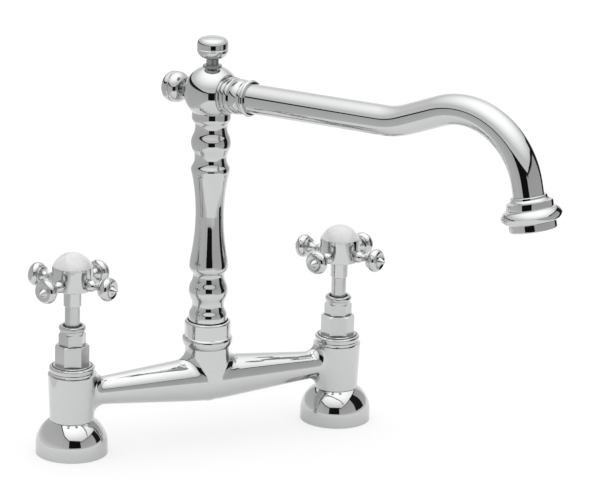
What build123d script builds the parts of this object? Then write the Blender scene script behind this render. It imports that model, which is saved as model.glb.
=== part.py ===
from build123d import *
import math
import os

os.makedirs("parts", exist_ok=True)

# Sizes are in millimetres and angles in degrees. X runs along the bridge, -Y is the front,
# Z is up, and the origin is on the worktop midway between the two supply pillars.

# Setting out
TAP_SPACING = 180.0      # distance between the two pillar axes
WORKTOP = 30.0           # worktop thickness that the tails pass through
RUN = 0.05               # radial gap of turning, sliding, screwed and pushed fits
NEST = 0.1               # radial gap round a piece that lies loose in a recess
OVERRUN = 0.6            # how far a bore runs into a chamber that it opens
SPARE = 10.0             # more height at each end of the pillars while their joins are rounded

# Supply tails, seals and nuts under the worktop
TAIL_R = 10.4775         # half inch pipe thread, over the crests
LAND_STEP = 0.28         # how far the gripped stretches lie below the crests
LAND_R = TAIL_R - LAND_STEP
TAIL_BORE = 7.5
TAIL_END = 12.0          # free thread below the nut for the supply connector
SOCKET_DEPTH = 9.2
WASHER_R = 17.0
WASHER_H = 1.5
NUT_FLATS = 27.0
NUT_H = 7.0
NUT_SPARE = 3.5          # land left below the nut

# Bell flanges, each with a seal in its foot
BELL_R = 22.25
BELL_RIM = 4.8           # height of the upright rim
BELL_H = 21.8
BELL_TOP_R = 13.1
BELL_SWELL = 2.72        # how far the outside swells beyond a straight cone
BELL_BORE = TAIL_R + NEST
BELL_WEB = 3.0
BELL_WALL = 1.75         # rim beside the seal
SEAL_R = BELL_R - BELL_WALL - NEST
SEAL_BORE = TAIL_R + 5 * NEST
SEAL_H = 2.5
SEAL_LEDGE = 2.9         # width of the ledge above the seal

# Pillars, built up from the bells, and the axis of the bridge arms
PILLAR_FOOT_R = 13.7
PILLAR_HEAD_R = 14.9
PILLAR_H = 29.0
LAND_RISE = 4.0          # from the plain wall to the face that carries the bonnet
RIM_RISE = 1.5           # rim that stands round that face
ARM_RISE = 15.8
WATERWAY = 4.0
SEAT_RISE = 7.5
SEAT_BORE = 4.6
SEAT_WALL = 2.0
CHAMBER_R = 9.4
CHAMBER_ROOM = 5.5       # from the valve seat to the top of the chamber
BONNET_R = 9.85          # bonnet thread
BONNET_FLANGE_R = 11.9
HEAD_RIM = 2.25          # rim outside the bonnet flange
NECK_GROOVE = 0.7        # depth of the groove under the rim
ARM_AXIS = BELL_H + ARM_RISE
CHAMBER_FLOOR = ARM_AXIS - WATERWAY - NEST
SEAT = CHAMBER_FLOOR + SEAT_RISE
CHAMBER_TOP = SEAT + CHAMBER_ROOM
PILLAR_HEAD = BELL_H + PILLAR_H
LAND = PILLAR_HEAD + LAND_RISE
HEAD_TOP = LAND + RIM_RISE
HEAD_BEAD_R = BONNET_FLANGE_R + HEAD_RIM

# Bridge arms
ARM_R = 14.8             # radius of the two arm cones where they would meet
ARM_TAPER = 0.0865       # radius lost for each millimetre away from the middle
ARM_BLEND = 12.9         # the middle is rounded over this half length
ARM_REACH = TAP_SPACING / 2 - CHAMBER_R - OVERRUN
BEND_R = 7.0             # rounding where arms meet the boss and the pillars

# Centre boss and collar, with the bore that the column turns in
BOSS_FOOT_R = 14.6       # where it runs into the arms
BOSS_R = 13.8            # at its top
BOSS_RISE = 21.4
COLLAR_R = 14.4
COLLAR_H = 16.8
COLLAR_BEAD_R = 15.75
COLLAR_BEAD = 4.5        # middle of the bead above the boss
COLLAR_WALL = 1.7        # wall round the bush
BUSH_DEPTH = 7.8         # depth of the recess for the bush
BUSH_H = 1.5
BUSH_R = COLLAR_R - COLLAR_WALL - NEST
SPIGOT_R = 9.55
SPIGOT_RISE = 8.4
MIX_R = 9.0
MIX_DROP = 5.6
SET_SCREW_R = 2.0
SET_SCREW_RISE = 4.7
SET_SCREW_SINK = 0.55    # how far its end lies below the widest part of the collar
BOSS_TOP = ARM_AXIS + BOSS_RISE
COLLAR_TOP = BOSS_TOP + COLLAR_H
BUSH_FLOOR = COLLAR_TOP - BUSH_DEPTH
SPIGOT_END = ARM_AXIS + SPIGOT_RISE
MIX_FLOOR = ARM_AXIS - MIX_DROP
SET_SCREW_Z = BOSS_TOP + SET_SCREW_RISE
SET_SCREW_END = COLLAR_BEAD_R - SET_SCREW_SINK

# Bonnets
WASHER_GAP = 0.4         # fibre washer under the bonnet flange
BONNET_GAP = 0.5         # below the bonnet, above the chamber
BONNET_FLANGE = 1.8
BONNET_FLATS = 18.2
BONNET_HEX = 12.8
NOSE_H = 5.7
NOSE_WALL = 0.85         # wall round the packing
BONNET_END = CHAMBER_TOP + BONNET_GAP
BONNET_UNDER = LAND + WASHER_GAP
BONNET_HEX_FOOT = BONNET_UNDER + BONNET_FLANGE
BONNET_HEX_TOP = BONNET_HEX_FOOT + BONNET_HEX
NOSE_TOP = BONNET_HEX_TOP + NOSE_H

# Spindles, packing and gland nuts
THREAD_R = 6.0           # spindle thread
THREAD_ROOM = 3.0        # from the thread room up to the packing
THREAD_RISE = 6.5        # free length above the spindle thread
SPINDLE_R = 4.7
SPINDLE_LIFT = 4.5       # foot of the spindle above the valve seat
PACK_WALL = 1.0
PACK_H = 3.0
PACK_DEPTH = 6.0
GLAND_WALL = 0.8
GLAND_LIFT = 0.2         # gap between the two hexagons
GLAND_HEX_H = 7.2
GLAND_NECK_H = 1.8
GLAND_NECK_WALL = 1.1    # beyond the nose
GLAND_HEAD_H = 3.2
GLAND_BEAD = 0.85        # how far the bead above the neck swells
GLAND_CUP_WALL = 1.3     # cup beyond the spindle
PACK_R = SPINDLE_R + PACK_WALL
NOSE_R = PACK_R + RUN + NOSE_WALL
PACK_FLOOR = NOSE_TOP - PACK_DEPTH
THREAD_END = PACK_FLOOR - THREAD_ROOM
THREAD_TOP = THREAD_END - THREAD_RISE
SPINDLE_FOOT = SEAT + SPINDLE_LIFT
GLAND_FLATS = 2 * (NOSE_R + RUN + GLAND_WALL)
GLAND_NECK_R = NOSE_R + GLAND_NECK_WALL
GLAND_CUP_R = SPINDLE_R + GLAND_CUP_WALL
GLAND_FOOT = BONNET_HEX_TOP + GLAND_LIFT
GLAND_HEX = GLAND_FOOT + GLAND_HEX_H
GLAND_NECK = GLAND_HEX + GLAND_NECK_H
GLAND_TOP = GLAND_NECK + GLAND_HEAD_H

# Jumpers with their washers
JUMPER_STEM = 2.5
JUMPER_TIP = 2.0
JUMPER_LENGTH = 10.5     # stem inside the spindle
JUMPER_TOP = SPINDLE_FOOT + JUMPER_LENGTH
TAP_WASHER_H = 2.0
WASHER_NUT_FLATS = 6.2
WASHER_NUT_H = 2.4

# Handles
HUB_LIFT = 12.3          # foot of the hub above the gland
HUB_NECK_WALL = 0.8      # neck beyond the spindle
HUB_NECK_H = 10.9
HUB_R = 12.55
HUB_H = 13.8
SQUARE_SHOULDER = 1.6    # from the flats of the spindle's square to its round part
SQUARE_H = 17.5
SCREW_WALL = 0.7         # from the screw to the flats of the square
SCREW_GRIP = 8.0
SCREW_LEDGE = 2.6        # hub between the square and the head of the screw
HEAD_R = 4.2
HEAD_H = 2.6
DOME_SEAT = 1.7          # how deep the dome sits in the hub
DOME_SWELL = 0.72        # radius of the dome's sphere beyond the edge of the dome
DOME_INSET = 0.55        # edge of the dome inside the hub
SPIGOT_INSET = 1.45      # spigot of the dome inside the hub
INDEX_H = 0.7
INDEX_INSET = 0.2
HUB_FOOT = GLAND_TOP + HUB_LIFT
HUB_NECK_R = SPINDLE_R + HUB_NECK_WALL
HUB_BODY = HUB_FOOT + HUB_NECK_H
HUB_TOP = HUB_BODY + HUB_H
SQUARE = 2 * (SPINDLE_R - SQUARE_SHOULDER)
SQUARE_TOP = HUB_FOOT + SQUARE_H
SCREW_R = SQUARE / 2 - SCREW_WALL
SCREW_FOOT = SQUARE_TOP - SCREW_GRIP
SCREW_SEAT = SQUARE_TOP + SCREW_LEDGE
DOME_FLOOR = HUB_TOP - DOME_SEAT
DOME_EDGE_R = HUB_R - DOME_INSET
DOME_R = DOME_EDGE_R + DOME_SWELL
DOME_SPIGOT = HUB_R - SPIGOT_INSET
INDEX_R = HUB_R - INDEX_INSET

# Arms of the cross, with lengths counted from their feet
ARM_COUNT = 4
ARM_LIFT = 4.4           # arms above the underside of the hub
ARM_SINK = 0.75          # how deep the arms sit in the hub
ARM_FOOT_R = 3.7
ARM_STUD_R = 2.0
ARM_STUD = 3.2
ARM_NECK_R = 2.15
ARM_NECK = 7.7
ARM_RIDGE_R = 5.5
ARM_RIDGE = 10.7
ARM_KNOB = 11.7          # where the rounded knob starts
ARM_KNOB_SWELL = 2.15    # how far its rounding stands out
ARM_FACE_R = 5.4
ARM_FACE = 18.2
ARM_CONE_R = 2.6
ARM_TIP = 21.8
ARM_HEIGHT = HUB_BODY + ARM_LIFT
ARM_SEAT = HUB_R - ARM_SINK

# Column: widest and narrowest places as (radius, height above the shoulder, share), where
# share says how far along the way from the place before the curve changes its sense
SHOULDER = 1.05          # width of the shoulder that stands on the bush
FOOT_GAP = 0.65          # between the foot of the column and the collar
FOOT_BEAD = (BUSH_R + NEST - FOOT_GAP, 9.0)
COLUMN_TURNS = (
    (10.0, 16.5, 0.5),
    (12.25, 25.5, 0.5),
    (9.85, 35.5, 0.5),
    (12.2, 41.3, 0.5),
    (8.85, 74.5, 0.15),
)
LIP_UNDER = (11.5, 100.1)
LIP = (12.1, 103.5)
COLUMN_HEAD = (
    (10.0, 110.5, 0.3),
    (12.4, 120.2, 0.5),
    (10.0, 130.0, 0.5),
    (12.15, 136.5, 0.6),
)
COLUMN_H = 139.7
COLUMN_BORE = 6.5
NIPPLE_R = 8.0
NIPPLE_H = 3.8
O_RING = 0.82            # half thickness of the seals in the spigot
O_RING_LIFTS = (5.2, 11.2)   # seals above the end of the spigot
O_RING_GROOVE = SPIGOT_R - 2 * O_RING - RUN / 5
KEEPER_DEPTH = 1.25      # groove that the set screw points into
KEEPER_R = SPIGOT_R - KEEPER_DEPTH
COLUMN_FOOT = BUSH_FLOOR + BUSH_H
COLUMN_TOP = COLUMN_FOOT + COLUMN_H

# Ball, with the radius of each flat on it, and the distances of the flats from its middle
BALL_FOOT_R = 12.083
BALL_RISE = 12.1         # middle of the ball above its foot
FINIAL_FLAT_R = 6.034
SPOUT_FLAT_R = 12.2
BALL_WALL = 1.3          # wall behind the flat of the spout
SEAL_RING_H = 1.0        # seals beside the ball
BALL_SEAL_GAP = 1.0      # from the seal to the edge of the ball's foot
BALL_SEAL_WALL = 1.2     # from the nipple to the recess of the seal
BALL_R = math.hypot(BALL_FOOT_R, BALL_RISE)
BALL_Z = COLUMN_TOP + BALL_RISE
FINIAL_FLAT = math.sqrt(BALL_R**2 - FINIAL_FLAT_R**2)
SPOUT_FLAT = math.sqrt(BALL_R**2 - SPOUT_FLAT_R**2)
BALL_HOLLOW = SPOUT_FLAT - BALL_WALL
BALL_SEAL_R = BALL_FOOT_R - BALL_SEAL_GAP
BALL_SEAL_BORE = NIPPLE_R + BALL_SEAL_WALL

# Finials, with heights counted from the top of their necks
FINIAL_RING_R = 5.65
FINIAL_RING_H = 1.3
FINIAL_NECK_R = 3.8
FINIAL_NECK = 4.2
FINIAL_STEM = 2.6
FINIAL_STUD = 3.8        # stem inside the ball
FINIAL_BOWL_R = 5.0
FINIAL_R = 9.65
FINIAL_CUP = 5.1
FINIAL_GROOVE = 0.4      # depth of the groove between cup and cap
FINIAL_CAP = 8.7
FINIAL_SHOULDER_R = 7.2
FINIAL_SHOULDER = 12.6
FINIAL_TOP = 13.8
FINIAL_FOOT = FINIAL_FLAT + FINIAL_RING_H + FINIAL_NECK

# Spout, measured from the middle of the ball along the spout
SPOUT_TURN = -62.0       # where the spout points, counted from +X
SPOUT_RISE = 2.2         # degrees above the level
SPOUT_BORE = 6.4
SPOUT_SEAL_GAP = 0.55    # from the seal to the edge of the flat
SPOUT_SEAL_WALL = 0.35
COLLAR_SPIGOT = 8.55
COLLAR_SINK = 3.0        # spigot of the collar inside the ball
COLLAR_LENGTH = 17.1
COLLAR_BANDS = (         # the three bands beside the ball
    (11.7, 0),
    (11.8, 1.8, 0.15),
    (10.8, 2.1),
    (11.3, 2.4),
    (11.3, 4.6, 0.15),
    (10.5, 4.9),
    (11.0, 5.2),
    (10.9, 7.2, 0.15),
)
COLLAR_WAIST = 7.6       # where the waist starts
COLLAR_WAIST_R = 10.0
FERRULE_SPIGOT = 7.6
FERRULE_SINK = 6.9       # ferrule inside the collar
FERRULE_R = 11.3
FERRULE_LENGTH = 2.4
TUBE_R = 9.15
TUBE_WALL = 1.2
TUBE_GRIP = 1.6          # tube inside the ferrule
TUBE_LIP = 0.85          # wall round the tube where it enters the ferrule
SPOUT_SEAL_R = SPOUT_FLAT_R - SPOUT_SEAL_GAP
SPOUT_SEAL_BORE = COLLAR_SPIGOT + SPOUT_SEAL_WALL
COLLAR_START = SPOUT_FLAT - COLLAR_SINK
COLLAR_END = SPOUT_FLAT + COLLAR_LENGTH
FERRULE_START = COLLAR_END - FERRULE_SINK
FERRULE_END = COLLAR_END + FERRULE_LENGTH
TUBE_START = FERRULE_END - TUBE_GRIP
TUBE_RUNS = (            # straight run, bend radius and bend angle, in order
    (100.0, 52.0, 19.4),
    (24.0, 45.7, -98.7),
    (6.7, 0, 0),
)

# Outlet, measured down its own axis from the top of the nozzle
NOZZLE_LIP = 1.15        # wall round the tube
NOZZLE_BAND_R = 13.7
NOZZLE_R = 18.0
NOZZLE_SOCKET = 3.0
NOZZLE_THREAD = 8.0      # where the aerator thread starts
NOZZLE_END = 15.5
AERATOR_R = 12.0
AERATOR_BAND = 1.9       # band beyond the thread
AERATOR_BAND_H = 4.4
AERATOR_LEDGE = 1.2      # height of the ledge under the insert
AERATOR_WASHER_H = 1.5
AERATOR_WASHER_W = 2.9
INSERT_WALL = 1.4        # housing round the insert
INSERT_LEDGE = 0.7       # width of the ledge under the insert
SCREEN_H = 0.8
JETS = ((3.0, 6), (6.0, 12), (8.8, 18))   # ring radius and number of holes
JET_R = 0.8
AERATOR_BAND_R = AERATOR_R + AERATOR_BAND
AERATOR_END = NOZZLE_END + AERATOR_BAND_H
AERATOR_FLOOR = AERATOR_END - AERATOR_LEDGE
INSERT_R = AERATOR_R - INSERT_WALL - NEST
AERATOR_LIP = INSERT_R - INSERT_LEDGE

# The two sides, and how far the turned pieces are turned about their own axes
SIDES = {"left": -TAP_SPACING / 2, "right": TAP_SPACING / 2}
BONNET_TURNS = {"left": 41.4, "right": 37.7}
GLAND_TURNS = {"left": 53.0, "right": 37.1}
HANDLE_TURNS = {"left": 32.6, "right": 32.0}   # direction of the first arm


def outline(*steps):
    """Closed flat face through steps of (radius, height) or (radius, height, bow), taken with
    the face on the left. Bow is how far the edge that leads to the step swells outwards."""
    edges = []
    for before, step in zip(steps[-1:] + steps[:-1], steps):
        start, end = Vector(*before[:2]), Vector(*step[:2])
        bow = step[2] if len(step) > 2 else 0
        if bow:
            along = (end - start).normalized()
            middle = (start + end) / 2 + Vector(along.Y, -along.X) * bow
            edges.append(ThreePointArc(start, middle, end))
        else:
            edges.append(Line(start, end))
    return make_face(edges)


def turned(*steps):
    """Solid of revolution about Z from an outline."""
    return revolve(Plane.XZ * outline(*steps), Axis.Z)


def ogee(start, end, share):
    """Steps of two tangent arcs from start to end, upright at both ends."""
    lean = math.atan2(start[0] - end[0], end[1] - start[1])
    bow = math.dist(start, end) / 2 * math.tan(lean / 2)
    meet = [a + share * (b - a) for a, b in zip(start, end)]
    return [(*meet, bow * share), (*end, -bow * (1 - share))]


def ogees(start, turns):
    """Steps of a row of ogees that starts at one place and passes the listed ones."""
    steps = []
    for radius, height, share in turns:
        steps += ogee(start, (radius, height), share)
        start = (radius, height)
    return steps


def cap(edge, top):
    """Step of a rounded top from its edge up to the axis, level at the axis."""
    rise = top - edge[1]
    return (0, top, math.hypot(edge[0], rise) / 2 * math.tan(math.atan2(rise, edge[0]) / 2))


def rod(radius, bottom, top):
    return turned((0, bottom), (radius, bottom), (radius, top), (0, top))


def ring(inner, outer, bottom, top):
    return turned((inner, bottom), (outer, bottom), (outer, top), (inner, top))


def hexagon(flats, bottom, top):
    face = RegularPolygon(flats / 2, 6, major_radius=False)
    return Pos(0, 0, bottom) * extrude(face, top - bottom)


def nut_blank(flats, bottom, top, drop=1.0):
    """Hexagon with its upper corners turned off to a cone."""
    corner = flats / math.sqrt(3) + 0.05
    edge = flats / 2
    cone = turned((0, bottom), (corner, bottom), (corner, top - drop), (edge, top), (0, top))
    return hexagon(flats, bottom, top) & cone


# Under the pillars

def bell():
    inner_top = BELL_H - BELL_WEB
    outside = turned(
        (0, 0),
        (BELL_R, 0),
        (BELL_R, BELL_RIM),
        (BELL_TOP_R, BELL_H, BELL_SWELL),
        (0, BELL_H),
    )
    inside = turned(
        (0, 0),
        (SEAL_R + NEST, 0),
        (SEAL_R + NEST, SEAL_H),
        (SEAL_R - SEAL_LEDGE, SEAL_H),
        (SEAL_R - SEAL_LEDGE, BELL_RIM + 1.2),
        (BELL_TOP_R - 1.1, inner_top, 2.6),
        (BELL_BORE, inner_top),
        (BELL_BORE, BELL_H),
        (0, BELL_H),
    )
    return outside - inside


def tail():
    """Threaded tail: gripped at the top by the pillar and below the worktop by the nut."""
    grip_end = -WORKTOP - WASHER_H - NUT_H - NUT_SPARE
    end = grip_end - TAIL_END
    return turned(
        (TAIL_BORE, end),
        (TAIL_R, end),
        (TAIL_R, grip_end),
        (LAND_R, grip_end),
        (LAND_R, -WORKTOP),
        (TAIL_R, -WORKTOP),
        (TAIL_R, 0),
        (LAND_R, 0),
        (LAND_R, BELL_H + SOCKET_DEPTH),
        (TAIL_BORE, BELL_H + SOCKET_DEPTH),
    )


def deck_seal():
    return ring(SEAL_BORE, SEAL_R, 0, SEAL_H)


def clamp_washer():
    return ring(TAIL_R + NEST, WASHER_R, -WORKTOP - WASHER_H, -WORKTOP)


def back_nut():
    top = -WORKTOP - WASHER_H
    blank = nut_blank(NUT_FLATS, top - NUT_H, top)
    return blank - rod(LAND_R + RUN, top - NUT_H, top)


# Bridge body

def arm_radius(reach):
    return ARM_R - ARM_TAPER * reach


def bridge_arms():
    """Two cones base to base along X with the ridge between them rounded over."""
    blend_r, end_r = arm_radius(ARM_BLEND), arm_radius(ARM_REACH)
    bow = ARM_BLEND * ARM_TAPER / 2
    shape = turned(
        (0, -ARM_REACH),
        (end_r, -ARM_REACH),
        (blend_r, -ARM_BLEND),
        (blend_r, ARM_BLEND, bow),
        (end_r, ARM_REACH),
        (0, ARM_REACH),
    )
    return Pos(0, 0, ARM_AXIS) * Rot(0, 90, 0) * shape


def between(edge, low, high, near, far):
    """True for an edge whose middle lies between two heights and two distances along X."""
    middle = edge.center()
    return low < middle.Z < high and near <= abs(middle.X) < far


def joins(shape):
    """Edges where the arms run into the boss and into the two pillar walls."""
    centre = TAP_SPACING / 2
    low, high = ARM_AXIS - ARM_R, ARM_AXIS + ARM_R
    for edge in shape.edges():
        at_boss = between(edge, ARM_AXIS, BOSS_TOP - OVERRUN, 0, BOSS_FOOT_R + OVERRUN)
        at_pillar = between(edge, low, high, centre - 2 * PILLAR_HEAD_R, centre - OVERRUN)
        if at_boss or at_pillar and edge.geom_type == GeomType.BSPLINE:
            yield edge


def bridge_blend():
    """Arms, boss and pillar walls as one shape with rounded joins."""
    grow = (PILLAR_HEAD_R - PILLAR_FOOT_R) / PILLAR_H
    foot, top = BELL_H - SPARE, PILLAR_HEAD + SPARE
    foot_r, top_r = PILLAR_FOOT_R - SPARE * grow, PILLAR_HEAD_R + SPARE * grow
    wall = turned((0, foot), (foot_r, foot), (top_r, top), (0, top))
    boss = turned(
        (0, ARM_AXIS - BOSS_FOOT_R),
        (BOSS_FOOT_R, ARM_AXIS, BOSS_FOOT_R * (1 - math.sqrt(0.5))),
        (BOSS_R, BOSS_TOP),
        (0, BOSS_TOP),
    )
    shape = bridge_arms() + boss
    for x in SIDES.values():
        shape += Pos(x, 0, 0) * wall
    shape = fillet(list(joins(shape)), BEND_R)
    clear = PILLAR_HEAD_R + BEND_R
    for x in SIDES.values():
        shape -= Pos(x, 0, 0) * rod(clear, foot - SPARE, BELL_H)
        shape -= Pos(x, 0, 0) * rod(clear, PILLAR_HEAD, top + SPARE)
    return shape


def pillar_head():
    neck_r = HEAD_BEAD_R - NECK_GROOVE
    return turned(
        (0, PILLAR_HEAD),
        (PILLAR_HEAD_R, PILLAR_HEAD),
        (neck_r, PILLAR_HEAD + 0.6),
        (neck_r, PILLAR_HEAD + 1.6),
        (HEAD_BEAD_R, HEAD_TOP - 1.6, 0.1),
        (HEAD_BEAD_R - 1.2, HEAD_TOP, 0.45),
        (BONNET_FLANGE_R + 0.6, HEAD_TOP),
        (BONNET_FLANGE_R + 0.3, LAND),
        (0, LAND),
    )


def collar():
    bead = BOSS_TOP + COLLAR_BEAD
    return turned(
        (0, BOSS_TOP),
        (BOSS_R, BOSS_TOP),
        (COLLAR_BEAD_R - 0.05, bead - 0.9, 0.35),
        (COLLAR_BEAD_R - 0.05, bead + 0.9, 0.1),
        (COLLAR_R, bead + 2.4, 0.25),
        (COLLAR_R, COLLAR_TOP - 1.3),
        (COLLAR_R - 1.3, COLLAR_TOP, 0.38),
        (0, COLLAR_TOP),
    )


def valve_passage():
    """Everything that is bored out of one pillar."""
    seat_r = SEAT_BORE + SEAT_WALL
    return turned(
        (0, BELL_H),
        (LAND_R + RUN, BELL_H),
        (LAND_R + RUN, BELL_H + SOCKET_DEPTH),
        (SEAT_BORE, BELL_H + SOCKET_DEPTH),
        (SEAT_BORE, SEAT),
        (seat_r, SEAT),
        (seat_r, CHAMBER_FLOOR),
        (CHAMBER_R, CHAMBER_FLOOR),
        (CHAMBER_R, CHAMBER_TOP),
        (BONNET_R + RUN, CHAMBER_TOP),
        (BONNET_R + RUN, LAND),
        (0, LAND),
    )


def swivel_bore():
    """Mixing chamber, spigot bore and bush recess in the middle of the bridge."""
    return turned(
        (0, MIX_FLOOR),
        (MIX_R, MIX_FLOOR),
        (MIX_R, SPIGOT_END - 2),
        (SPIGOT_R + RUN, SPIGOT_END - 2),
        (SPIGOT_R + RUN, BUSH_FLOOR),
        (BUSH_R + NEST, BUSH_FLOOR),
        (BUSH_R + NEST, COLLAR_TOP),
        (0, COLLAR_TOP),
    )


def screw_rod(radius, start, end):
    """Rod that lies along +Y at the height of the set screw."""
    return Pos(0, 0, SET_SCREW_Z) * Rot(-90, 0, 0) * rod(radius, start, end)


def bridge_body():
    shape = bridge_blend() + collar()
    for x in SIDES.values():
        shape += Pos(x, 0, 0) * pillar_head()
    reach = TAP_SPACING / 2 - CHAMBER_R + OVERRUN
    waterway = Pos(0, 0, ARM_AXIS) * Rot(0, 90, 0) * rod(WATERWAY, -reach, reach)
    shape -= waterway
    for x in SIDES.values():
        shape -= Pos(x, 0, 0) * valve_passage()
    shape -= swivel_bore()
    return shape - screw_rod(SET_SCREW_R + RUN, SPIGOT_R - 1, COLLAR_BEAD_R + 1)


def swivel_bush():
    return ring(SPIGOT_R + NEST, BUSH_R, BUSH_FLOOR, BUSH_FLOOR + BUSH_H)


def swivel_set_screw():
    screw = screw_rod(SET_SCREW_R, KEEPER_R + 0.3, SET_SCREW_END)
    key = Pos(0, 0, SET_SCREW_Z) * Rot(-90, 0, 0) * hexagon(2.0, SET_SCREW_END - 2, SET_SCREW_END)
    return screw - key


# Valves

def bonnet():
    shape = turned(
        (0, BONNET_END),
        (BONNET_R, BONNET_END),
        (BONNET_R, BONNET_UNDER),
        (BONNET_FLANGE_R, BONNET_UNDER),
        (BONNET_FLANGE_R, BONNET_HEX_FOOT - 0.4),
        (BONNET_FLANGE_R - 0.4, BONNET_HEX_FOOT),
        (0, BONNET_HEX_FOOT),
    )
    shape += nut_blank(BONNET_FLATS, BONNET_HEX_FOOT, BONNET_HEX_TOP)
    shape += rod(NOSE_R, BONNET_HEX_TOP, NOSE_TOP)
    return shape - turned(
        (0, BONNET_END),
        (THREAD_R + RUN, BONNET_END),
        (THREAD_R + RUN, THREAD_END),
        (SPINDLE_R + RUN, THREAD_END),
        (SPINDLE_R + RUN, PACK_FLOOR),
        (PACK_R + RUN, PACK_FLOOR),
        (PACK_R + RUN, NOSE_TOP),
        (0, NOSE_TOP),
    )


def bonnet_washer():
    return ring(BONNET_R + NEST, BONNET_FLANGE_R - NEST, LAND, LAND + WASHER_GAP)


def gland_packing():
    return ring(SPINDLE_R + RUN, PACK_R, PACK_FLOOR, PACK_FLOOR + PACK_H)


def gland_nut():
    shape = nut_blank(GLAND_FLATS, GLAND_FOOT, GLAND_HEX, 0.5)
    shape += turned(
        (0, GLAND_HEX),
        (GLAND_NECK_R, GLAND_HEX),
        (GLAND_NECK_R, GLAND_NECK),
        (GLAND_NECK_R - 0.4, GLAND_TOP, GLAND_BEAD),
        (0, GLAND_TOP),
    )
    return shape - turned(
        (0, GLAND_FOOT),
        (NOSE_R + RUN, GLAND_FOOT),
        (NOSE_R + RUN, NOSE_TOP + 0.1),
        (PACK_R, NOSE_TOP + 0.1),
        (PACK_R, PACK_FLOOR + PACK_H),
        (SPINDLE_R + RUN, PACK_FLOOR + PACK_H),
        (SPINDLE_R + RUN, GLAND_NECK),
        (GLAND_CUP_R, GLAND_NECK),
        (GLAND_CUP_R, GLAND_TOP - 0.5),
        (GLAND_CUP_R + 0.4, GLAND_TOP),
        (0, GLAND_TOP),
    )


def jumper():
    disc = SEAT + TAP_WASHER_H
    return turned(
        (0, SEAT - WASHER_NUT_H - 0.6),
        (JUMPER_TIP, SEAT - WASHER_NUT_H - 0.6),
        (JUMPER_TIP, disc),
        (THREAD_R, disc),
        (THREAD_R, SPINDLE_FOOT),
        (JUMPER_STEM, SPINDLE_FOOT),
        (JUMPER_STEM, JUMPER_TOP - 0.4),
        (JUMPER_STEM - 0.4, JUMPER_TOP),
        (0, JUMPER_TOP),
    )


def tap_washer():
    return ring(JUMPER_TIP + RUN, THREAD_R, SEAT, SEAT + TAP_WASHER_H)


def washer_nut():
    blank = hexagon(WASHER_NUT_FLATS, SEAT - WASHER_NUT_H, SEAT)
    return blank - rod(JUMPER_TIP + RUN, SEAT - WASHER_NUT_H, SEAT)


def spindle():
    shape = turned(
        (0, SPINDLE_FOOT),
        (THREAD_R, SPINDLE_FOOT),
        (THREAD_R, THREAD_TOP),
        (SPINDLE_R, THREAD_TOP + 0.6),
        (SPINDLE_R, HUB_FOOT),
        (0, HUB_FOOT),
    )
    shape += Pos(0, 0, HUB_FOOT) * extrude(Rectangle(SQUARE, SQUARE), SQUARE_TOP - HUB_FOOT)
    shape -= rod(JUMPER_STEM + NEST, SPINDLE_FOOT, JUMPER_TOP + 3.5)
    return shape - rod(SCREW_R + NEST, SCREW_FOOT - 0.5, SQUARE_TOP)


# Handles

def around_handle(shape):
    """The same shape at each arm of the cross, with its Z axis pointing outwards."""
    for number in range(ARM_COUNT):
        turn = number * 360 / ARM_COUNT
        yield Pos(0, 0, ARM_HEIGHT) * Rot(0, 0, turn) * Rot(0, 90, 0) * shape


def handle_hub():
    shape = turned(
        (0, HUB_FOOT),
        (HUB_NECK_R - 0.3, HUB_FOOT),
        (HUB_NECK_R, HUB_FOOT + 0.3),
        (HUB_NECK_R, HUB_BODY),
        (HUB_R - 0.6, HUB_BODY),
        (HUB_R - 0.05, HUB_BODY + 0.6, 0.15),
        (HUB_R - 0.05, HUB_TOP, 0.1),
        (0, HUB_TOP),
    )
    hole = SQUARE + 2 * RUN
    shape -= Pos(0, 0, HUB_FOOT) * extrude(Rectangle(hole, hole), SQUARE_TOP - HUB_FOOT)
    shape -= rod(SCREW_R + NEST, SQUARE_TOP, SCREW_SEAT)
    shape -= rod(HEAD_R + NEST, SCREW_SEAT, DOME_FLOOR)
    shape -= rod(DOME_SPIGOT + NEST, DOME_FLOOR, HUB_TOP)
    socket = rod(ARM_STUD_R + RUN, ARM_SEAT - ARM_STUD, ARM_SEAT)
    socket += rod(ARM_FOOT_R + RUN, ARM_SEAT, HUB_R + 2)
    for cut in around_handle(socket):
        shape -= cut
    return shape


def handle_arm():
    """One arm of the cross, lying along Z; heights are distances from the handle axis."""
    neck, ridge, knob = ARM_SEAT + ARM_NECK, ARM_SEAT + ARM_RIDGE, ARM_SEAT + ARM_KNOB
    face, tip = ARM_SEAT + ARM_FACE, ARM_SEAT + ARM_TIP
    return turned(
        (0, ARM_SEAT - ARM_STUD),
        (ARM_STUD_R, ARM_SEAT - ARM_STUD),
        (ARM_STUD_R, ARM_SEAT),
        (ARM_FOOT_R - 0.5, ARM_SEAT),
        (ARM_NECK_R + 0.2, neck - 2.2, 0.95),
        (ARM_NECK_R, neck - 1.9),
        (ARM_NECK_R, neck),
        (ARM_RIDGE_R, ridge, -0.6),
        (ARM_RIDGE_R, ridge + 0.6, 0.1),
        (ARM_RIDGE_R - 0.35, knob),
        (ARM_FACE_R, face, ARM_KNOB_SWELL),
        (ARM_CONE_R + 0.4, face - 0.3, -0.1),
        (ARM_CONE_R, face - 0.1),
        (0.6, tip - 0.3),
        cap((0.6, tip - 0.3), tip),
    )


def handle_arms():
    return Part() + list(around_handle(handle_arm()))


def index_ring():
    return ring(DOME_SPIGOT + RUN, INDEX_R, HUB_TOP, HUB_TOP + INDEX_H)


def index_dome():
    edge = HUB_TOP + INDEX_H
    rise = DOME_R - math.sqrt(DOME_R**2 - DOME_EDGE_R**2)
    return turned(
        (0, DOME_FLOOR),
        (DOME_SPIGOT, DOME_FLOOR),
        (DOME_SPIGOT, edge),
        (DOME_EDGE_R, edge),
        cap((DOME_EDGE_R, edge), edge + rise),
    )


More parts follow.
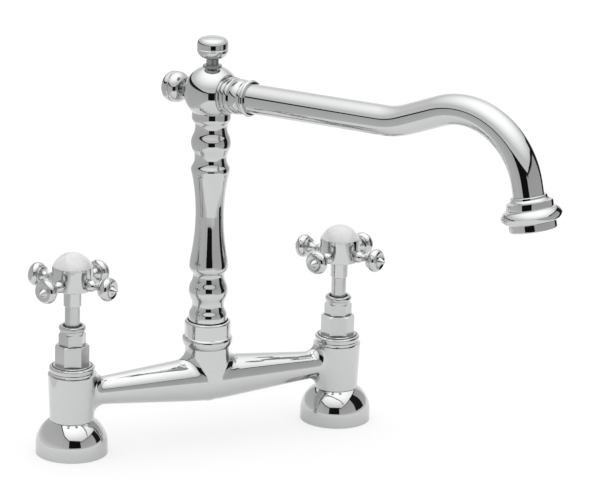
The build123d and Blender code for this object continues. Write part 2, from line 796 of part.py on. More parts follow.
def handle_screw():
    shape = rod(SCREW_R, SCREW_FOOT, SCREW_SEAT)
    shape += rod(HEAD_R, SCREW_SEAT, SCREW_SEAT + HEAD_H)
    slot = Box(2 * HEAD_R + 1, 1.0, 2.0)
    return shape - Pos(0, 0, SCREW_SEAT + HEAD_H) * slot


# Column and ball

def raised(turns, base):
    """The same steps with their heights counted from a base."""
    return [(radius, base + height, *rest) for radius, height, *rest in turns]


def o_ring_heights():
    return [SPIGOT_END + lift for lift in O_RING_LIFTS]


def column():
    foot_bead, lip_under, lip = raised((FOOT_BEAD, LIP_UNDER, LIP), COLUMN_FOOT)
    turns = raised(COLUMN_TURNS, COLUMN_FOOT)
    waist = turns[-1][:2]
    swing = math.atan2(lip_under[0] - waist[0], lip_under[1] - waist[1])
    swing_bow = -math.dist(waist, lip_under) / 2 * math.tan(swing / 2)
    steps = [(COLUMN_BORE, SPIGOT_END), (SPIGOT_R, SPIGOT_END)]
    for height in o_ring_heights():
        low, high = height - O_RING - 0.38, height + O_RING + 0.38
        steps += [(SPIGOT_R, low), (O_RING_GROOVE, low), (O_RING_GROOVE, high), (SPIGOT_R, high)]
    low, high = SET_SCREW_Z - SET_SCREW_R - 0.2, SET_SCREW_Z + SET_SCREW_R + 0.2
    steps += [(SPIGOT_R, low), (KEEPER_R, low), (KEEPER_R, high), (SPIGOT_R, high)]
    steps += [(SPIGOT_R, COLUMN_FOOT), (SPIGOT_R + SHOULDER, COLUMN_FOOT), (*foot_bead, 0.5)]
    steps += ogees(foot_bead, turns)
    steps += [(*lip_under, swing_bow), (*lip, 0.12)]
    steps += ogees(lip, raised(COLUMN_HEAD, COLUMN_FOOT))
    steps += [(BALL_FOOT_R, COLUMN_TOP), (NIPPLE_R, COLUMN_TOP)]
    steps += [(NIPPLE_R, COLUMN_TOP + NIPPLE_H), (COLUMN_BORE, COLUMN_TOP + NIPPLE_H)]
    return turned(*steps)


def column_o_rings():
    seal = Torus(SPIGOT_R - O_RING, O_RING)
    return Part() + [Pos(0, 0, height) * seal for height in o_ring_heights()]


def ball_place():
    return Pos(0, 0, BALL_Z)


def spout_place():
    """From the middle of the ball with Z along the straight part of the spout."""
    return ball_place() * Rot(0, 0, SPOUT_TURN) * Rot(0, 90 - SPOUT_RISE, 0)


def rear_place():
    return ball_place() * Rot(0, 0, SPOUT_TURN) * Rot(0, -90 - SPOUT_RISE, 0)


def ball():
    shape = ball_place() * (Sphere(BALL_R) - Sphere(BALL_HOLLOW))
    shape -= rod(BALL_R, COLUMN_TOP - BALL_R, COLUMN_TOP)
    shape -= rod(NIPPLE_R + RUN, COLUMN_TOP, BALL_Z)
    shape -= ring(BALL_SEAL_BORE, BALL_SEAL_R + NEST, COLUMN_TOP, COLUMN_TOP + SEAL_RING_H)
    seal_room = SPOUT_FLAT - SEAL_RING_H
    shape -= spout_place() * rod(BALL_R, SPOUT_FLAT, BALL_R + 1)
    shape -= spout_place() * rod(COLLAR_SPIGOT + RUN, 0, SPOUT_FLAT)
    shape -= spout_place() * ring(SPOUT_SEAL_BORE, SPOUT_SEAL_R + NEST, seal_room, SPOUT_FLAT)
    for place in (ball_place(), rear_place()):
        shape -= place * rod(BALL_R, FINIAL_FLAT, BALL_R + 1)
        shape -= place * rod(FINIAL_STEM + RUN, 0, FINIAL_FLAT)
    return shape


def ball_seal():
    return ring(BALL_SEAL_BORE + NEST, BALL_SEAL_R, COLUMN_TOP, COLUMN_TOP + SEAL_RING_H)


def finial_ring():
    top = FINIAL_FLAT + FINIAL_RING_H
    return turned(
        (FINIAL_STEM + RUN, FINIAL_FLAT),
        (FINIAL_RING_R, FINIAL_FLAT),
        (FINIAL_RING_R, top, 0.15),
        (FINIAL_NECK_R, top),
        (FINIAL_NECK_R, FINIAL_FOOT),
        (FINIAL_STEM + RUN, FINIAL_FOOT),
    )


def finial():
    foot = FINIAL_FOOT
    shoulder = (FINIAL_SHOULDER_R, foot + FINIAL_SHOULDER)
    return turned(
        (0, FINIAL_FLAT - FINIAL_STUD),
        (FINIAL_STEM, FINIAL_FLAT - FINIAL_STUD),
        (FINIAL_STEM, foot),
        (FINIAL_BOWL_R, foot),
        (FINIAL_R, foot + FINIAL_CUP, 1.15),
        (FINIAL_R, foot + FINIAL_CUP + 0.5),
        (FINIAL_R - FINIAL_GROOVE, foot + FINIAL_CUP + 1.0),
        (FINIAL_R - FINIAL_GROOVE, foot + FINIAL_CUP + 1.4),
        (FINIAL_R, foot + FINIAL_CUP + 1.7),
        (FINIAL_R, foot + FINIAL_CAP),
        (*shoulder, 0.66),
        cap(shoulder, foot + FINIAL_TOP),
    )


# Spout

def spout_seal():
    top = SPOUT_FLAT
    return ring(SPOUT_SEAL_BORE + NEST, SPOUT_SEAL_R, top - SEAL_RING_H, top)


def spout_collar():
    return turned(
        (SPOUT_BORE, COLLAR_START),
        (COLLAR_SPIGOT, COLLAR_START),
        (COLLAR_SPIGOT, SPOUT_FLAT),
        *raised(COLLAR_BANDS, SPOUT_FLAT),
        (COLLAR_WAIST_R, SPOUT_FLAT + COLLAR_WAIST),
        (COLLAR_WAIST_R, COLLAR_END - 2.7, 0.95),
        (COLLAR_WAIST_R + 0.6, COLLAR_END - 2.4),
        (COLLAR_WAIST_R + 0.6, COLLAR_END - 0.2, 0.1),
        (COLLAR_WAIST_R + 0.4, COLLAR_END),
        (FERRULE_SPIGOT + RUN, COLLAR_END),
        (FERRULE_SPIGOT + RUN, FERRULE_START),
        (SPOUT_BORE, FERRULE_START),
    )


def spout_ferrule():
    return turned(
        (SPOUT_BORE, FERRULE_START),
        (FERRULE_SPIGOT, FERRULE_START),
        (FERRULE_SPIGOT, COLLAR_END),
        (COLLAR_WAIST_R - 0.2, COLLAR_END),
        (FERRULE_R, FERRULE_END - 1.2, 0.3),
        (TUBE_R + TUBE_LIP, FERRULE_END, 0.25),
        (TUBE_R + RUN, FERRULE_END),
        (TUBE_R + RUN, TUBE_START),
        (SPOUT_BORE, TUBE_START),
    )


def direction(heading):
    angle = math.radians(heading)
    return Vector(math.cos(angle), 0, math.sin(angle))


def tube_path():
    """Centreline of the tube in the plane of the spout, before the spout is turned to its
    side. Gives the edges, the last point and the last heading above the level."""
    heading = SPOUT_RISE
    at = Vector(0, 0, BALL_Z) + direction(heading) * TUBE_START
    edges = []
    for run, radius, turn in TUBE_RUNS:
        end = at + direction(heading) * run
        edges.append(Line(at, end))
        at = end
        if turn:
            side = math.copysign(90, turn)
            middle = at + direction(heading + side) * radius
            points = [middle + direction(heading + part - side) * radius for part in (turn / 2, turn)]
            edges.append(ThreePointArc(at, *points))
            at = points[1]
            heading += turn
    end = at + direction(heading) * NOZZLE_SOCKET
    edges.append(Line(at, end))
    return edges, at, heading


def spout_tube():
    edges, _, _ = tube_path()
    path = Wire(edges)
    start = Plane(origin=path @ 0, z_dir=path % 0)
    outside = sweep(start * Circle(TUBE_R), path)
    inside = sweep(start * Circle(TUBE_R - TUBE_WALL), path)
    return Rot(0, 0, SPOUT_TURN) * (outside - inside)


def outlet_place():
    """From the top of the nozzle with Z down its axis."""
    _, at, heading = tube_path()
    return Rot(0, 0, SPOUT_TURN) * Pos(at) * Rot(0, 90 - heading, 0)


def outlet_nozzle():
    bore = TUBE_R - TUBE_WALL
    lip_r = TUBE_R + NOZZLE_LIP
    return turned(
        (TUBE_R + RUN, 0),
        (lip_r, 0),
        (lip_r + 0.5, 0.5, 0.1),
        (lip_r + 0.5, 1.6),
        (NOZZLE_BAND_R, 3.4, -0.35),
        (NOZZLE_BAND_R, 6.9, 0.1),
        (NOZZLE_R, NOZZLE_END - 4.1, 0.75),
        (AERATOR_BAND_R + NEST, NOZZLE_END, 0.9),
        (AERATOR_R + RUN, NOZZLE_END),
        (AERATOR_R + RUN, NOZZLE_THREAD),
        (bore, NOZZLE_THREAD),
        (bore, NOZZLE_SOCKET),
        (TUBE_R + RUN, NOZZLE_SOCKET),
    )


def aerator_washer():
    outer = AERATOR_R - NEST
    return ring(outer - AERATOR_WASHER_W, outer, NOZZLE_THREAD, NOZZLE_THREAD + AERATOR_WASHER_H)


def aerator_housing():
    start = NOZZLE_THREAD + AERATOR_WASHER_H
    return turned(
        (INSERT_R + NEST, start),
        (AERATOR_R, start),
        (AERATOR_R, NOZZLE_END),
        (AERATOR_BAND_R, NOZZLE_END),
        (AERATOR_BAND_R, AERATOR_END - 0.8),
        (AERATOR_BAND_R - 0.8, AERATOR_END, 0.23),
        (AERATOR_LIP, AERATOR_END),
        (AERATOR_LIP, AERATOR_FLOOR),
        (INSERT_R + NEST, AERATOR_FLOOR),
    )


def screen_start():
    return NOZZLE_THREAD + AERATOR_WASHER_H + 0.1


def aerator_screen():
    return rod(INSERT_R, screen_start(), screen_start() + SCREEN_H)


def aerator_insert():
    start = screen_start() + SCREEN_H
    shape = rod(INSERT_R, start, AERATOR_FLOOR)
    jet = rod(JET_R, start, AERATOR_FLOOR)
    jets = [jet]
    for radius, count in JETS:
        jets += [loc * jet for loc in PolarLocations(radius, count)]
    return shape - jets


# Everything in its place, one file for each named piece

def write(name, shape):
    shape.label = name
    export_step(shape, f"parts/{name}.step")


def write_sides(name, shape, turns=None):
    """The piece at both pillars, turned about the pillar axis by the angle of each side."""
    for side, x in SIDES.items():
        turn = turns[side] if turns else 0
        write(f"{side}_{name}", Pos(x, 0, 0) * Rot(0, 0, turn) * shape)


write_sides("bell", bell())
write_sides("tail", tail())
write_sides("deck_seal", deck_seal())
write_sides("clamp_washer", clamp_washer())
write_sides("back_nut", back_nut())

write("bridge_body", bridge_body())
write("swivel_bush", swivel_bush())
write("swivel_set_screw", swivel_set_screw())

write_sides("bonnet", bonnet(), BONNET_TURNS)
write_sides("bonnet_washer", bonnet_washer())
write_sides("gland_nut", gland_nut(), GLAND_TURNS)
write_sides("gland_packing", gland_packing())
write_sides("spindle", spindle(), HANDLE_TURNS)
write_sides("jumper", jumper())
write_sides("tap_washer", tap_washer())
write_sides("washer_nut", washer_nut())

write_sides("handle_hub", handle_hub(), HANDLE_TURNS)
write_sides("handle_arms", handle_arms(), HANDLE_TURNS)
write_sides("index_ring", index_ring())
write_sides("index_dome", index_dome())
write_sides("handle_screw", handle_screw(), HANDLE_TURNS)

write("column", column())
write("column_o_rings", column_o_rings())
write("ball", ball())
write("ball_seal", ball_seal())
for name, place in (("top", ball_place()), ("rear", rear_place())):
    write(f"{name}_finial", place * finial())
    write(f"{name}_finial_ring", place * finial_ring())

write("spout_seal", spout_place() * spout_seal())
write("spout_collar", spout_place() * spout_collar())
write("spout_ferrule", spout_place() * spout_ferrule())
write("spout_tube", spout_tube())

write("outlet_nozzle", outlet_place() * outlet_nozzle())
write("aerator_washer", outlet_place() * aerator_washer())
write("aerator_housing", outlet_place() * aerator_housing())
write("aerator_screen", outlet_place() * aerator_screen())
write("aerator_insert", outlet_place() * aerator_insert())
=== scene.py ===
import math

import bmesh
import bpy
from mathutils import Matrix, Vector

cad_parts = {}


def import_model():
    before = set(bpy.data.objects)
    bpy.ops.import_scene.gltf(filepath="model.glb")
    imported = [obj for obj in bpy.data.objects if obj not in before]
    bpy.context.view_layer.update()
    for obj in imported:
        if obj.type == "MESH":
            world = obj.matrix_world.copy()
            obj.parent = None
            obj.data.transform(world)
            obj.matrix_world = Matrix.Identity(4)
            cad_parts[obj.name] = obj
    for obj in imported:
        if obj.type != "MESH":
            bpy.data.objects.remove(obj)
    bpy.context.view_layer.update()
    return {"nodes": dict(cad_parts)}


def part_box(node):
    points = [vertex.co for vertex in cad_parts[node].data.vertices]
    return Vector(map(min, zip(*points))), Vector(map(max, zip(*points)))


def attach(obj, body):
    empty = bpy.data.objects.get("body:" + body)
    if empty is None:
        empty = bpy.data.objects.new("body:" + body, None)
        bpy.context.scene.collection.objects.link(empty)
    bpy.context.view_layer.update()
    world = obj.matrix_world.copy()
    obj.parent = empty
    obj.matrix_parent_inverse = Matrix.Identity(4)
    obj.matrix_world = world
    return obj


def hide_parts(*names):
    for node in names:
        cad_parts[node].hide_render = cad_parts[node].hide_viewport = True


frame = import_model()
NODES = frame["nodes"]
SIDES = ("left", "right")
MM = 0.001
WHITE = (1, 1, 1, 1)

# Camera: where it stands round the tap, and what it looks at
CAMERA_AZIMUTH = -25.15
CAMERA_ELEVATION = 16.5
CAMERA_ROLL = 1.56
CAMERA_DISTANCE = 2.0
CAMERA_TARGET = Vector((0.0622, 0, 0.1159))
CAMERA_LENS = 191.2
CAMERA_SENSOR = 36
CAMERA_NEAR = 0.05
CAMERA_FAR = 60


# ---------------------------------------------------------------- node helpers

class Tree:
    """Short ways to add and join the nodes of one material or world."""

    def __init__(self, owner, output="ShaderNodeOutputMaterial"):
        owner.use_nodes = True
        self.nodes = owner.node_tree.nodes
        self.links = owner.node_tree.links
        self.output = output
        self.nodes.clear()

    def add(self, kind, values=None, **settings):
        node = self.nodes.new(kind)
        for name, value in settings.items():
            setattr(node, name, value)
        for key, value in (values or {}).items():
            self.put(node.inputs[key], value)
        return node

    def put(self, socket, value):
        """Joins a socket or a node's first output to the input, or sets the input to a number."""
        if isinstance(value, bpy.types.NodeSocket):
            self.links.new(value, socket)
        elif isinstance(value, bpy.types.Node):
            self.links.new(value.outputs[0], socket)
        else:
            socket.default_value = value

    def math(self, operation, *values):
        node = self.add("ShaderNodeMath", operation=operation)
        for socket, value in zip(node.inputs, values):
            self.put(socket, value)
        return node.outputs[0]

    def dot(self, vector, direction):
        node = self.add("ShaderNodeVectorMath", operation="DOT_PRODUCT")
        self.put(node.inputs[0], vector)
        node.inputs[1].default_value = direction
        return node.outputs["Value"]

    def ramp(self, value, low, high, start=0.0, end=1.0, smooth=False):
        """Goes from start to end while the value goes from low to high, and stays there."""
        kind = "SMOOTHSTEP" if smooth else "LINEAR"
        node = self.add("ShaderNodeMapRange", interpolation_type=kind, clamp=True)
        for socket, number in zip(node.inputs, (value, low, high, start, end)):
            self.put(socket, number)
        return node.outputs[0]

    def mix(self, factor, first, second):
        """Blend of two colours. A mix node has sockets for other kinds before those for colours."""
        node = self.add("ShaderNodeMix", data_type="RGBA")
        for number, value in ((0, factor), (6, first), (7, second)):
            self.put(node.inputs[number], value)
        return node.outputs[2]

    def rays(self, *kinds):
        """1 for rays of the named kinds of the Light Path node."""
        path = self.add("ShaderNodeLightPath")
        total = path.outputs[kinds[0]]
        for kind in kinds[1:]:
            total = self.math("MAXIMUM", total, path.outputs[kind])
        return total

    def place(self):
        return self.add("ShaderNodeTexCoord").outputs["Object"]

    def noise(self, scale, detail=2.0, roughness=0.5, vector=None):
        """Noise with so many cells to a metre."""
        node = self.add("ShaderNodeTexNoise", {"Scale": scale, "Detail": detail})
        node.inputs["Roughness"].default_value = roughness
        self.put(node.inputs["Vector"], vector or self.place())
        return node.outputs["Fac"]

    def rings(self, across, along, detail, roughness):
        """Noise drawn out into rings round the upright axis, with its cells across and along it."""
        place = self.add(
            "ShaderNodeMapping", {"Vector": self.place(), "Scale": (across, across, along)}
        )
        return self.noise(1.0, detail, roughness, place.outputs[0])

    def bump(self, height, strength, distance):
        node = self.add("ShaderNodeBump", {"Height": height})
        node.inputs["Strength"].default_value = strength
        node.inputs["Distance"].default_value = distance
        return node.outputs[0]

    def surface(self, shader):
        output = self.add(self.output)
        self.put(output.inputs["Surface"], shader)


def material(name):
    made = bpy.data.materials.new(name)
    return made, Tree(made)


# ---------------------------------------------------------------- materials

# Nearly all of a noise lies between these two values, and its patches between the second pair
SPREAD = (0.3, 0.7)
PATCH = (0.35, 0.7)


def chrome(name, tint, roughness, lines=0.0, waves=0.04):
    """Chromium plate: polish haze in the roughness, and a plated surface that is never quite
    true, by waves in mm. Lines adds the fine marks of turning round the upright axis."""
    made, t = material(name)
    haze = t.noise(38.0, detail=4.0, roughness=0.6)
    fine = t.noise(900.0)
    rough = t.ramp(haze, 0.3, 0.75, roughness * 0.75, roughness * 1.35)
    rough = t.math("ADD", rough, t.math("MULTIPLY", fine, roughness * 0.25))
    shade = tuple(part * 0.96 for part in tint)
    tone = t.mix(t.ramp(t.noise(16.0, detail=3.0), *PATCH), (*tint, 1), (*shade, 1))
    shader = t.add("ShaderNodeBsdfPrincipled", {"Base Color": tone, "Roughness": rough})
    shader.inputs["Metallic"].default_value = 1.0
    height = t.noise(70.0, detail=1.0)
    if lines:
        turned = t.rings(25.0, 5200.0, detail=3.0, roughness=0.7)
        height = t.math("ADD", height, t.math("MULTIPLY", turned, lines))
    t.put(shader.inputs["Normal"], t.bump(height, 0.35, waves * MM))
    t.surface(shader)
    return made


def metal(name, light, dark, roughness, grain, cell):
    """Machined metal with darker patches, a grain of cell to a metre in its gloss, and rings of
    turning that are four times as fine."""
    made, t = material(name)
    patches = t.ramp(t.noise(60.0, detail=5.0, roughness=0.65), *PATCH)
    tone = t.mix(patches, (*light, 1), (*dark, 1))
    shader = t.add("ShaderNodeBsdfPrincipled", {"Base Color": tone})
    shader.inputs["Metallic"].default_value = 1.0
    rough = t.ramp(t.noise(cell, detail=3.0), *SPREAD, roughness * 0.8, roughness * 1.3)
    t.put(shader.inputs["Roughness"], rough)
    turned = t.rings(120.0, cell * 4, detail=2.0, roughness=0.6)
    t.put(shader.inputs["Normal"], t.bump(turned, grain, 0.02 * MM))
    t.surface(shader)
    return made


def matte(name, light, dark, roughness, cell, depth, coat=0.0):
    """Rubber, fibre, packing and plastic: mottled, with a grain of cell to a metre that is
    depth mm deep."""
    made, t = material(name)
    mottle = t.ramp(t.noise(cell * 0.2, detail=4.0, roughness=0.6), *SPREAD)
    tone = t.mix(mottle, (*light, 1), (*dark, 1))
    shader = t.add("ShaderNodeBsdfPrincipled", {"Base Color": tone})
    rough = t.ramp(t.noise(cell), *SPREAD, roughness * 0.85, min(1, roughness * 1.2))
    t.put(shader.inputs["Roughness"], rough)
    shader.inputs["Coat Weight"].default_value = coat
    t.put(shader.inputs["Normal"], t.bump(t.noise(cell, detail=3.0), 0.5, depth * MM))
    t.surface(shader)
    return made


def porcelain(name, light, dark):
    """White glaze over clay: a faint mottle, and a clear wet gloss that is slightly uneven."""
    made, t = material(name)
    mottle = t.ramp(t.noise(220.0, detail=4.0, roughness=0.6), *PATCH)
    tone = t.mix(mottle, (*light, 1), (*dark, 1))
    shader = t.add("ShaderNodeBsdfPrincipled", {"Base Color": tone})
    t.put(shader.inputs["Roughness"], t.ramp(t.noise(300.0), *SPREAD, 0.16, 0.24))
    shader.inputs["IOR"].default_value = 1.52
    shader.inputs["Coat Weight"].default_value = 0.6
    shader.inputs["Coat Roughness"].default_value = 0.05
    t.put(shader.inputs["Normal"], t.bump(t.noise(110.0), 0.25, 0.02 * MM))
    t.surface(shader)
    return made


MATERIALS = {
    "plate": chrome("polished_plate", (0.565, 0.568, 0.572), roughness=0.035),
    "satin": chrome(
        "satin_plate", (0.53, 0.533, 0.536), roughness=0.19, lines=0.6, waves=0.06
    ),
    # Plate for the finial rings: its much darker tint is painted shade, while its roughness and
    # turned lines are real grain
    "grain_and_painted_shade": chrome(
        "grain_plate_painted_shade", (0.34, 0.343, 0.346), roughness=0.28, lines=0.9, waves=0.10
    ),
    "brass": metal(
        "machined_brass", light=(0.80, 0.58, 0.27), dark=(0.62, 0.43, 0.19),
        roughness=0.28, grain=0.3, cell=400.0,
    ),
    "steel": metal(
        "turned_steel", light=(0.60, 0.60, 0.61), dark=(0.45, 0.45, 0.46),
        roughness=0.33, grain=0.35, cell=500.0,
    ),
    "rubber": matte(
        "moulded_rubber", light=(0.035, 0.035, 0.036), dark=(0.02, 0.02, 0.02),
        roughness=0.6, cell=900, depth=0.03,
    ),
    "fibre": matte(
        "pressed_fibre", light=(0.42, 0.13, 0.07), dark=(0.30, 0.09, 0.05),
        roughness=0.75, cell=1200, depth=0.04,
    ),
    "packing": matte(
        "waxed_packing", light=(0.74, 0.72, 0.65), dark=(0.60, 0.57, 0.50),
        roughness=0.5, cell=1500, depth=0.05,
    ),
    "bearing": matte(
        "bearing_plastic", light=(0.05, 0.05, 0.055), dark=(0.03, 0.03, 0.033),
        roughness=0.35, cell=700, depth=0.01,
    ),
    "jets": matte(
        "jet_plastic", light=(0.52, 0.54, 0.56), dark=(0.44, 0.46, 0.48),
        roughness=0.3, cell=500, depth=0.01, coat=0.2,
    ),
    "porcelain": porcelain(
        "glazed_porcelain", light=(0.62, 0.625, 0.62), dark=(0.56, 0.566, 0.56)
    ),
}

# The nodes of each finish, without their side
FINISH = {
    "satin": ("bonnet", "gland_nut", "spindle"),
    # The finial rings take the plate whose dark tint is painted shade
    "grain_and_painted_shade": ("top_finial_ring", "rear_finial_ring"),
    "brass": ("tail", "back_nut", "jumper", "washer_nut"),
    "steel": ("clamp_washer", "swivel_set_screw", "handle_screw", "aerator_screen"),
    "rubber": (
        "deck_seal", "tap_washer", "ball_seal", "spout_seal", "column_o_rings",
        "aerator_washer",
    ),
    "fibre": ("bonnet_washer",),
    "packing": ("gland_packing",),
    "bearing": ("swivel_bush",),
    "jets": ("aerator_insert",),
    "porcelain": ("index_dome",),
}


def finish_of(node):
    """Name of the finish of a CAD node; what isn't listed is polished plate."""
    plain = node
    for side in SIDES:
        plain = plain.removeprefix(side + "_")
    for finish, names in FINISH.items():
        if plain in names:
            return finish
    return "plate"


def dress_nodes():
    for name, obj in NODES.items():
        obj.data.materials.clear()
        obj.data.materials.append(MATERIALS[finish_of(name)])


# ---------------------------------------------------------------- pieces

TAIL_PITCH = 1.814 * MM      # half inch pipe thread
TAIL_CREST = 10.4775 * MM
TAIL_ROOT = 9.32 * MM
TAIL_LAND = 10.1975 * MM     # plain stretches beside the threads
TAIL_BORE = 7.5 * MM
TAIL_ENDS = (-54 * MM, 31 * MM)
TAIL_THREADS = ((-54 * MM, -42 * MM), (-30 * MM, 0))
TAIL_FLATS = 0.25            # how far the thread's wave is cut off at its crests and roots
TAIL_SEGMENTS = 72
TAIL_STEP = TAIL_PITCH / 8
SHARP_EDGE = math.radians(50)


def thread_radius(height, turn):
    """Radius of the tail's outside, with a rounded ridge that climbs one pitch for each turn
    and fades out over one pitch at its ends."""
    for low, high in TAIL_THREADS:
        if low <= height <= high:
            wave = 0.5 + 0.5 * math.cos(2 * math.pi * (height / TAIL_PITCH - turn))
            ridge = min(1.0, max(0.0, (1 + TAIL_FLATS) * wave - TAIL_FLATS / 2))
            fade = min(1.0, (height - low) / TAIL_PITCH, (high - height) / TAIL_PITCH)
            return TAIL_CREST - (TAIL_CREST - TAIL_ROOT) * (1 - ridge) * max(0.0, fade)
    return TAIL_LAND


def ring(shape, centre, height, radius_at):
    """Points round the centre; radius_at gives the radius at each share of a turn."""
    points = []
    for number in range(TAIL_SEGMENTS):
        turn = number / TAIL_SEGMENTS
        angle = 2 * math.pi * number / TAIL_SEGMENTS
        radius = radius_at(turn)
        points.append(shape.verts.new((
            centre.x + radius * math.cos(angle), centre.y + radius * math.sin(angle), height
        )))
    return points


def threaded_tail(side):
    """The tail with its real thread, which the solid has as a plain cylinder: rings up the
    outside, then down the bore, and back to the first."""
    low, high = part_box(f"{side}_tail")
    centre = (low + high) / 2
    shape = bmesh.new()
    foot, head = TAIL_ENDS
    heights = [foot + n * TAIL_STEP for n in range(int((head - foot) / TAIL_STEP) + 1)]
    heights.append(head)
    rings = [ring(shape, centre, z, lambda turn: thread_radius(z, turn)) for z in heights]
    rings += [ring(shape, centre, z, lambda turn: TAIL_BORE) for z in (head, foot)]
    rings.append(rings[0])
    for lower, upper in zip(rings, rings[1:]):
        for n in range(TAIL_SEGMENTS):
            following = (n + 1) % TAIL_SEGMENTS
            shape.faces.new((lower[n], lower[following], upper[following], upper[n]))
    solid_piece(shape, f"{side}_threaded_tail", f"{side}_tail", "brass", "base")


def solid_piece(shape, name, node, finish, body):
    """A mesh piece that stands for one CAD node and rides on its body."""
    bmesh.ops.recalc_face_normals(shape, faces=shape.faces)
    mesh = bpy.data.meshes.new(name)
    shape.to_mesh(mesh)
    shape.free()
    mesh.materials.append(MATERIALS[finish])
    for polygon in mesh.polygons:
        polygon.use_smooth = True
    mesh.set_sharp_from_angle(angle=SHARP_EDGE)
    piece = shown(name, mesh)
    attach(piece, body)
    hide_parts(node)


def shown(name, data):
    """An object of this name in the scene."""
    made = bpy.data.objects.new(name, data)
    bpy.context.scene.collection.objects.link(made)
    return made


# ---------------------------------------------------------------- studio

# Axes of the studio: right of the camera, away from it, and up
RIGHT = Vector((math.cos(math.radians(CAMERA_AZIMUTH)), math.sin(math.radians(CAMERA_AZIMUTH)), 0))
AWAY = Vector((-RIGHT.y, RIGHT.x, 0))
UP = Vector((0, 0, 1))

FLOOR_REACH = 4.0
FLOOR_LIGHT = (0.86, 0.86, 0.86, 1)
FLOOR_DARK = (0.845, 0.846, 0.846, 1)
FLOOR_GLOW = 0.65        # how much of the floor the camera sees as plain white paper
FLOOR_MIRRORED = 0.15    # the same share in the mirror of the metal

# Walls of the light tent: start and end (right, away), brightness at the foot and the top, and
# height of the dark seam above
TENT_TOP = 0.31
TENT_WALLS = (
    ((-0.20, 0.55), (-0.20, -0.30), 0.72, 0.62, 0.036),
    ((-0.20, -0.30), (-0.12, -0.50), 0.70, 0.58, 0.036),
    ((-0.12, -0.50), (0.30, -0.50), 0.66, 0.52, 0.036),
    ((0.30, -0.50), (0.34, -0.20), 0.64, 0.52, 0.020),
    ((0.34, -0.20), (0.34, 0.40), 0.64, 0.52, 0.020),
)
SEAM_LEVEL = 0.02
# The foot of each wall brightens to this level over this height, as cloth does that curves
# into the floor
COVE = 0.045
COVE_LEVEL = 0.92
# Dark things that the metal reflects: start, end, foot and top, and their brightness
WINDOW = ((-0.115, -0.495), (0.22, -0.495), 0.04, 0.30)
WINDOW_LEVEL = 0.008
FLAG = ((0.335, -0.05), (0.335, 0.12), 0.03, TENT_TOP)
FLAG_LEVEL = 0.015

# The roof brightens between two heights of a direction, which are sines of its elevation, and
# the side behind the tap turns white between two shares of the direction away
ROOF_HEIGHTS = (0.47, 0.95)
ROOF_LEVELS = (0.86, 1.80)
BACK_SHARES = (0.72, 0.90)


def card(name, start, end, foot, top, low_level, high_level, cove=0.0):
    """Upright sheet that only reflections see, with its brightness at the foot and the top,
    and how much brighter it is at the very foot."""
    corners = [
        RIGHT * x + AWAY * y + UP * z
        for (x, y), z in ((start, foot), (end, foot), (end, top), (start, top))
    ]
    mesh = bpy.data.meshes.new(name)
    mesh.from_pydata([tuple(c) for c in corners], [], [(0, 1, 2, 3)])
    made, t = material(name)
    height = t.add("ShaderNodeSeparateXYZ", {"Vector": t.place()}).outputs["Z"]
    level = t.ramp(height, foot, top, low_level, high_level)
    level = t.math("ADD", level, t.ramp(height, foot, foot + COVE, cove, 0, smooth=True))
    t.surface(t.add("ShaderNodeEmission", {"Color": WHITE, "Strength": level}))
    mesh.materials.append(made)
    sheet = shown(name, mesh)
    sheet.visible_camera = False
    sheet.visible_diffuse = False
    sheet.visible_shadow = False
    sheet.visible_transmission = False
    sheet.visible_volume_scatter = False


def tent():
    for number, (start, end, foot_level, top_level, seam) in enumerate(TENT_WALLS):
        under = TENT_TOP - seam
        cove = COVE_LEVEL - foot_level
        card(f"tent_wall_{number}", start, end, 0, under, foot_level, top_level, cove)
        card(f"tent_seam_{number}", start, end, under, TENT_TOP, SEAM_LEVEL, SEAM_LEVEL)
    card("tent_window", *WINDOW, WINDOW_LEVEL, WINDOW_LEVEL)
    card("tent_flag", *FLAG, FLAG_LEVEL, FLAG_LEVEL)


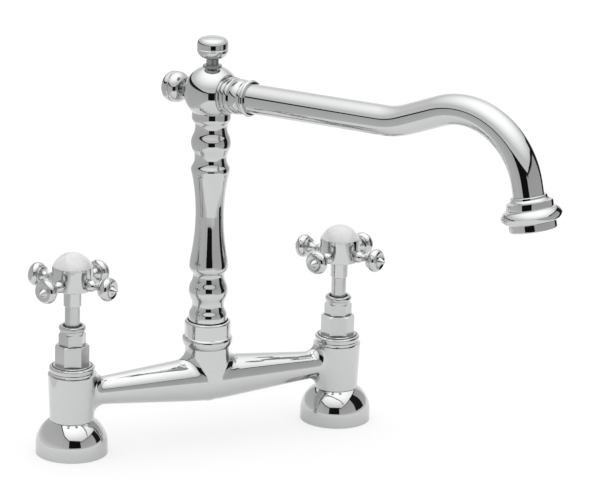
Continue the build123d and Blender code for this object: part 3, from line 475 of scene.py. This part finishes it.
def world():
    """Even white for the camera. Everything else sees a roof that brightens overhead, and
    white behind the tap."""
    made = bpy.data.worlds.new("studio")
    bpy.context.scene.world = made
    t = Tree(made, "ShaderNodeOutputWorld")
    direction = t.add("ShaderNodeTexCoord").outputs["Generated"]
    roof = t.ramp(t.dot(direction, tuple(UP)), *ROOF_HEIGHTS, *ROOF_LEVELS)
    behind = t.ramp(t.dot(direction, tuple(AWAY)), *BACK_SHARES, smooth=True)
    level = t.math("MAXIMUM", roof, behind)
    seen = t.rays("Is Camera Ray", "Is Transmission Ray")
    strength = t.math("ADD", t.math("MULTIPLY", level, t.math("SUBTRACT", 1.0, seen)), seen)
    t.surface(t.add("ShaderNodeBackground", {"Color": WHITE, "Strength": strength}))


def floor():
    """Light worktop that is partly white paper, so that only the tap's own shadow shows."""
    mesh = bpy.data.meshes.new("worktop")
    corners = [
        (x * FLOOR_REACH, y * FLOOR_REACH, 0) for x, y in ((-1, -1), (1, -1), (1, 1), (-1, 1))
    ]
    mesh.from_pydata(corners, [], [(0, 1, 2, 3)])
    made, t = material("worktop")
    tone = t.mix(t.ramp(t.noise(40.0, detail=4.0), *SPREAD), FLOOR_LIGHT, FLOOR_DARK)
    shader = t.add("ShaderNodeBsdfPrincipled", {"Base Color": tone})
    shader.inputs["Roughness"].default_value = 0.9
    shader.inputs["Specular IOR Level"].default_value = 0.1
    paper = t.add("ShaderNodeEmission", {"Color": WHITE})
    seen = t.math("MULTIPLY", t.rays("Is Camera Ray"), FLOOR_GLOW)
    mirrored = t.math("MULTIPLY", t.rays("Is Glossy Ray", "Is Transmission Ray"), FLOOR_MIRRORED)
    both = t.add("ShaderNodeMixShader")
    for number, value in enumerate((t.math("ADD", seen, mirrored), shader, paper)):
        t.put(both.inputs[number], value)
    t.surface(both)
    mesh.materials.append(made)
    sheet = shown("worktop", mesh)


def camera():
    elevation = math.radians(CAMERA_ELEVATION)
    roll = math.radians(CAMERA_ROLL)
    back = -AWAY * math.cos(elevation) + UP * math.sin(elevation)
    across = RIGHT * math.cos(roll) + back.cross(RIGHT) * math.sin(roll)
    over = back.cross(across)
    lens = bpy.data.cameras.new("camera")
    lens.lens = CAMERA_LENS
    lens.sensor_width = CAMERA_SENSOR
    lens.clip_start = CAMERA_NEAR
    lens.clip_end = CAMERA_FAR
    made = shown("camera", lens)
    turn = Matrix((across, over, back)).transposed()
    made.matrix_world = Matrix.Translation(CAMERA_TARGET + back * CAMERA_DISTANCE) @ turn.to_4x4()
    bpy.context.scene.camera = made


dress_nodes()
for side in SIDES:
    threaded_tail(side)
world()
tent()
floor()
camera()
bpy.context.scene.view_settings.view_transform = "Standard"
